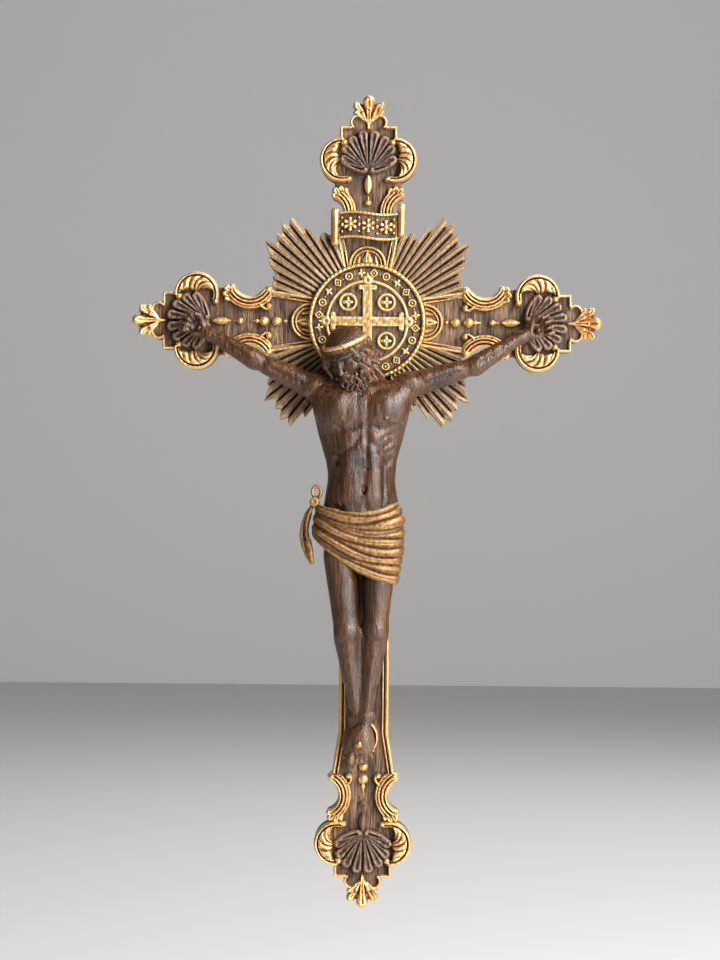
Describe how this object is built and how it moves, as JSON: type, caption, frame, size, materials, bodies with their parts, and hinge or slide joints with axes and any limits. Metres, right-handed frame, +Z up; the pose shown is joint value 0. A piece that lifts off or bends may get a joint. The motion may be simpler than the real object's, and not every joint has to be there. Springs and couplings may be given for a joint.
{
  "type": "wall crucifix",
  "caption": "Carved and gilded wooden wall crucifix with shell ends, a rayed glory, a round medallion and a scroll tablet behind a carved figure.",
  "frame": {"origin": "centre of the crossing on the flat back face of the upright, where it lies against a wall", "axes": "+Z up the upright, +X to the viewer's right along the arms, +Y out of the back into the wall; the front faces -Y"},
  "size_m": [0.1736, 0.0315, 0.3],
  "materials": {
    "board_wood": "satin walnut, dry-brushed, open pores",
    "figure_wood": "satin dark walnut, carved",
    "brushed_rays": "walnut dry-brushed with dull gold",
    "gilding": "water gilding, worn, warm in the recesses",
    "gilded_cloth": "walnut with gold rubbed on the folds",
    "dowel_wood": "plain beech",
    "nail_brass": "satin brass",
    "steel": "plain zinc-bright steel"
  },
  "bodies": {
    "root": {"upright": "board_wood", "left_arm_board": "board_wood", "right_arm_board": "board_wood", "crossing_dowel_upper": "dowel_wood", "crossing_dowel_lower": "dowel_wood", "glory_upper_right": "brushed_rays", "glory_upper_left": "brushed_rays", "glory_lower_right": "brushed_rays", "glory_lower_left": "brushed_rays", "medallion_disc": "board_wood", "medallion_cross": "gilding", "scroll_tablet": "gilding", "shell_right": "board_wood", "gilt_frame_right": "gilding", "edge_scroll_right_a": "gilding", "edge_scroll_right_b": "gilding", "bead_run_right": "gilding", "lunette_right": "gilding", "shell_top": "board_wood", "gilt_frame_top": "gilding", "edge_scroll_top_a": "gilding", "edge_scroll_top_b": "gilding", "bead_run_top": "gilding", "lunette_top": "gilding", "shell_left": "board_wood", "gilt_frame_left": "gilding", "edge_scroll_left_a": "gilding", "edge_scroll_left_b": "gilding", "bead_run_left": "gilding", "lunette_left": "gilding", "shell_bottom": "board_wood", "gilt_frame_bottom": "gilding", "edge_scroll_bottom_a": "gilding", "edge_scroll_bottom_b": "gilding", "bead_run_bottom": "gilding", "corpus_torso": "figure_wood", "corpus_head": "figure_wood", "corpus_left_arm": "figure_wood", "corpus_right_arm": "figure_wood", "corpus_left_leg": "figure_wood", "corpus_right_leg": "figure_wood", "circlet": "gilding", "loincloth": "gilded_cloth", "loincloth_knot": "gilded_cloth", "nail_left_hand": "nail_brass", "nail_right_hand": "nail_brass", "nail_feet": "nail_brass", "figure_screw_upper": "steel", "figure_screw_lower": "steel", "hanger_pin_left": "steel", "hanger_pin_right": "steel", "hanger_strip": "nail_brass", "crescent": "gilding"}
  },
  "joints": []
}
